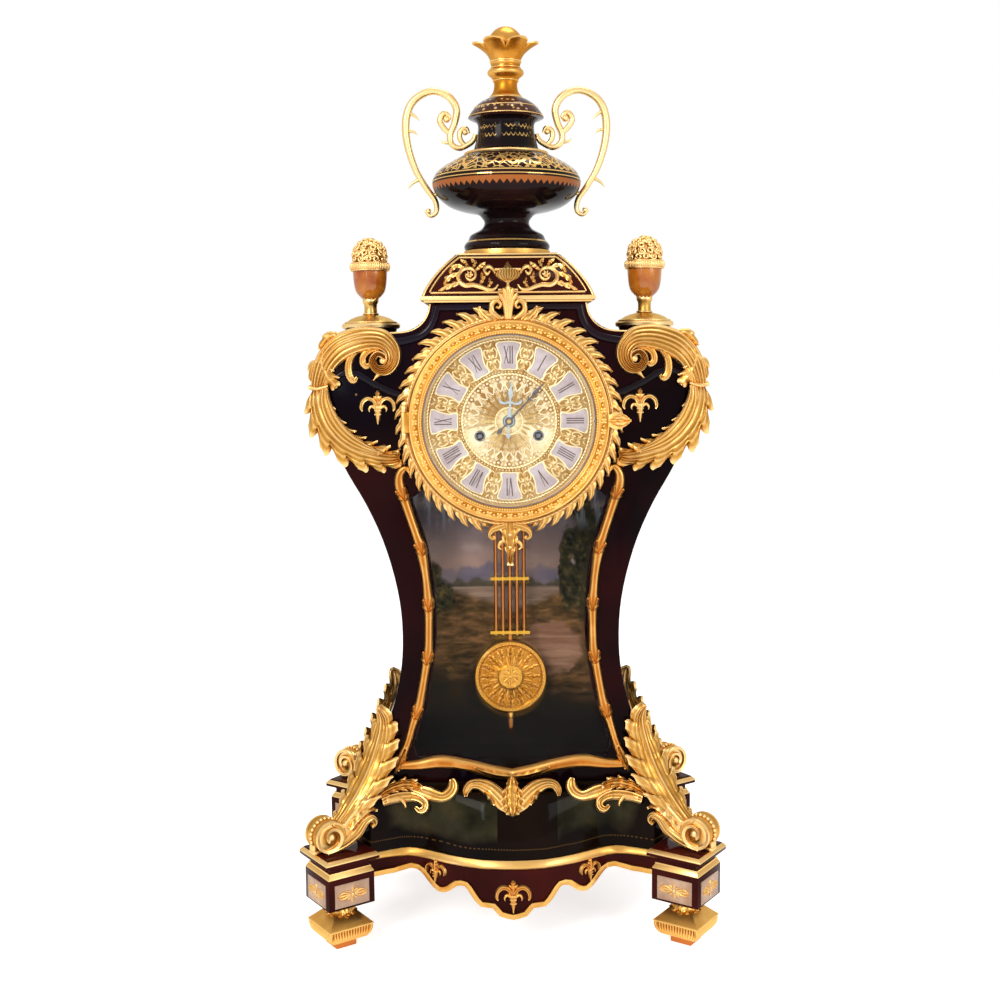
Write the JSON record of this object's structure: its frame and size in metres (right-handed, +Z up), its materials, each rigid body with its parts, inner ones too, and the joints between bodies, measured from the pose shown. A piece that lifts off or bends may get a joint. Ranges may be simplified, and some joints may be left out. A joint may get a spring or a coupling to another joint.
{
  "type": "mantel clock",
  "caption": "Porcelain mantel clock with gilt cast mounts, a glazed embossed dial, a visible pendulum, acanthus consoles on corner blocks and a two-handled urn on top",
  "frame": {"origin": "centre of the bounding box's underside, on the surface the feet stand on", "axes": "+Z up, front of the clock towards -Y, +X to the viewer's right"},
  "size_m": [0.4204, 0.298, 0.9],
  "materials": {
    "gilt_bronze": "cast gilt bronze, semi-matt on the relief and burnished on the edges",
    "porcelain": "very dark oxblood glaze, high gloss",
    "plaque_enamel": "cream enamel with a gilt flower",
    "board_wood": "stained board",
    "glass": "clear glass",
    "painted_panel": "painted and glazed picture panel",
    "amber_glaze": "amber glaze, high gloss",
    "movement_brass": "brushed and lacquered brass",
    "dial_gilt": "embossed pale gilt",
    "dial_enamel": "pale pinkish-grey enamel with dark numerals",
    "door_wood": "dark stained wood",
    "steel": "plain steel",
    "hand_steel": "polished silver-blue steel",
    "rod_gilt": "copper-gilt rods",
    "bob_gilt": "embossed gilt"
  },
  "bodies": {
    "clock_body": {"feet": "gilt_bronze", "corner_blocks": "porcelain", "block_rims": "gilt_bronze", "block_plaques": "plaque_enamel", "base_board": "board_wood", "base_skirt": "porcelain", "base_moulding": "gilt_bronze", "apron": "porcelain", "apron_edging": "gilt_bronze", "apron_fleurs": "gilt_bronze", "console_front_left": "gilt_bronze", "console_front_right": "gilt_bronze", "console_back_left": "gilt_bronze", "console_back_right": "gilt_bronze", "base_cartouche": "gilt_bronze", "case_body": "porcelain", "window_frame": "gilt_bronze", "window_glass": "glass", "painted_panel": "painted_panel", "shoulder_mount_left": "gilt_bronze", "shoulder_mount_right": "gilt_bronze", "shoulder_fleurs": "gilt_bronze", "finial_bases": "gilt_bronze", "finial_cups": "amber_glaze", "finial_flowers": "gilt_bronze", "bezel_surround": "gilt_bronze", "hinge_pins": "movement_brass", "dial_plate": "dial_gilt", "dial_cartouches": "dial_enamel", "pediment": "porcelain", "pediment_mouldings": "gilt_bronze", "urn_body": "porcelain", "urn_lid": "porcelain", "urn_finial": "gilt_bronze", "urn_handle_left": "gilt_bronze", "urn_handle_right": "gilt_bronze", "tie_rod": "steel", "movement_front_plate": "movement_brass", "movement_back_plate": "movement_brass", "movement_pillars": "movement_brass", "gong_rods": "steel"},
    "bezel_door": {"bezel_ring": "gilt_bronze", "bezel_glass": "glass"},
    "back_door_leaf": {"back_door": "door_wood"},
    "door_button": {"back_door_button": "movement_brass"},
    "minute_hand_arbor": {"minute_hand": "hand_steel", "centre_arbor": "movement_brass"},
    "hour_hand_pipe": {"hour_hand": "hand_steel"},
    "minute_wheel_arbor": {"minute_wheel": "movement_brass"},
    "intermediate_arbor": {"intermediate_wheel": "movement_brass"},
    "third_arbor": {"third_wheel": "movement_brass"},
    "escape_arbor": {"escape_wheel": "movement_brass"},
    "going_barrel_body": {"going_barrel": "movement_brass"},
    "strike_barrel_body": {"strike_barrel": "movement_brass"},
    "going_winding_arbor": {"going_arbor": "steel"},
    "strike_winding_arbor": {"strike_arbor": "steel"},
    "anchor_body": {"anchor": "steel"},
    "pendulum": {"pendulum_rods": "rod_gilt"},
    "bob": {"pendulum_bob": "bob_gilt"},
    "hammer": {"strike_hammer": "movement_brass"}
  },
  "joints": [
    {"name": "bezel_hinge", "type": "hinge", "parent": "clock_body", "child": "bezel_door", "pos_m": [-0.1015, -0.0885, 0.5119], "axis": [0, 0, -1], "range_deg": [0, 110]},
    {"name": "back_door_hinge", "type": "hinge", "parent": "clock_body", "child": "back_door_leaf", "pos_m": [-0.068, 0.0803, 0.38], "axis": [0, 0, 1], "range_deg": [0, 105]},
    {"name": "back_button_turn", "type": "hinge", "parent": "back_door_leaf", "child": "door_button", "pos_m": [0.056, 0.084, 0.38], "axis": [0, 1, 0], "range_deg": [0, 90]},
    {"name": "minute_hand_turn", "type": "hinge", "parent": "clock_body", "child": "minute_hand_arbor", "pos_m": [0, -0.04, 0.5119], "axis": [0, 1, 0], "continuous": true},
    {"name": "hour_hand_turn", "type": "hinge", "parent": "clock_body", "child": "hour_hand_pipe", "pos_m": [0, -0.04, 0.5119], "axis": [0, 1, 0], "continuous": true},
    {"name": "minute_wheel_turn", "type": "hinge", "parent": "clock_body", "child": "minute_wheel_arbor", "pos_m": [0, -0.04, 0.4999], "axis": [0, 1, 0], "continuous": true},
    {"name": "intermediate_turn", "type": "hinge", "parent": "clock_body", "child": "intermediate_arbor", "pos_m": [0.00031, -0.04, 0.4909], "axis": [0, 1, 0], "continuous": true},
    {"name": "third_turn", "type": "hinge", "parent": "clock_body", "child": "third_arbor", "pos_m": [-0.0144, -0.04, 0.52094], "axis": [0, 1, 0], "continuous": true},
    {"name": "escape_turn", "type": "hinge", "parent": "clock_body", "child": "escape_arbor", "pos_m": [0, -0.04, 0.529], "axis": [0, 1, 0], "continuous": true},
    {"name": "going_barrel_turn", "type": "hinge", "parent": "clock_body", "child": "going_barrel_body", "pos_m": [0.0283, -0.04, 0.4977], "axis": [0, 1, 0], "continuous": true},
    {"name": "strike_barrel_turn", "type": "hinge", "parent": "clock_body", "child": "strike_barrel_body", "pos_m": [-0.0283, -0.04, 0.4977], "axis": [0, 1, 0], "continuous": true},
    {"name": "going_winding", "type": "hinge", "parent": "clock_body", "child": "going_winding_arbor", "pos_m": [0.0283, -0.04, 0.4977], "axis": [0, 1, 0], "continuous": true},
    {"name": "strike_winding", "type": "hinge", "parent": "clock_body", "child": "strike_winding_arbor", "pos_m": [-0.0283, -0.04, 0.4977], "axis": [0, 1, 0], "continuous": true},
    {"name": "anchor_swing", "type": "hinge", "parent": "clock_body", "child": "anchor_body", "pos_m": [0, -0.03, 0.55], "axis": [0, 1, 0], "range_deg": [-4, 4]},
    {"name": "pendulum_swing", "type": "hinge", "parent": "clock_body", "child": "pendulum", "pos_m": [0, -0.01, 0.55], "axis": [0, 1, 0], "range_deg": [-4, 4]},
    {"name": "bob_regulation", "type": "slide", "parent": "pendulum", "child": "bob", "axis": [0, 0, -1], "range_m": [-0.004, 0.004]},
    {"name": "hammer_swing", "type": "hinge", "parent": "clock_body", "child": "hammer", "pos_m": [-0.037, -0.012, 0.479], "axis": [0, 1, 0], "range_deg": [0, 12], "stiffness_Nm_per_rad": 0.02}
  ],
  "couplings": [
    {"joint": "hour_hand_turn", "follows": "minute_hand_turn", "ratio": 0.083333},
    {"joint": "minute_wheel_turn", "follows": "minute_hand_turn", "ratio": -0.33333},
    {"joint": "intermediate_turn", "follows": "minute_hand_turn", "ratio": -0.16667},
    {"joint": "going_barrel_turn", "follows": "minute_hand_turn", "ratio": 0.02381},
    {"joint": "third_turn", "follows": "minute_hand_turn", "ratio": -9},
    {"joint": "escape_turn", "follows": "minute_hand_turn", "ratio": 90},
    {"joint": "anchor_swing", "follows": "pendulum_swing", "ratio": 1}
  ]
}
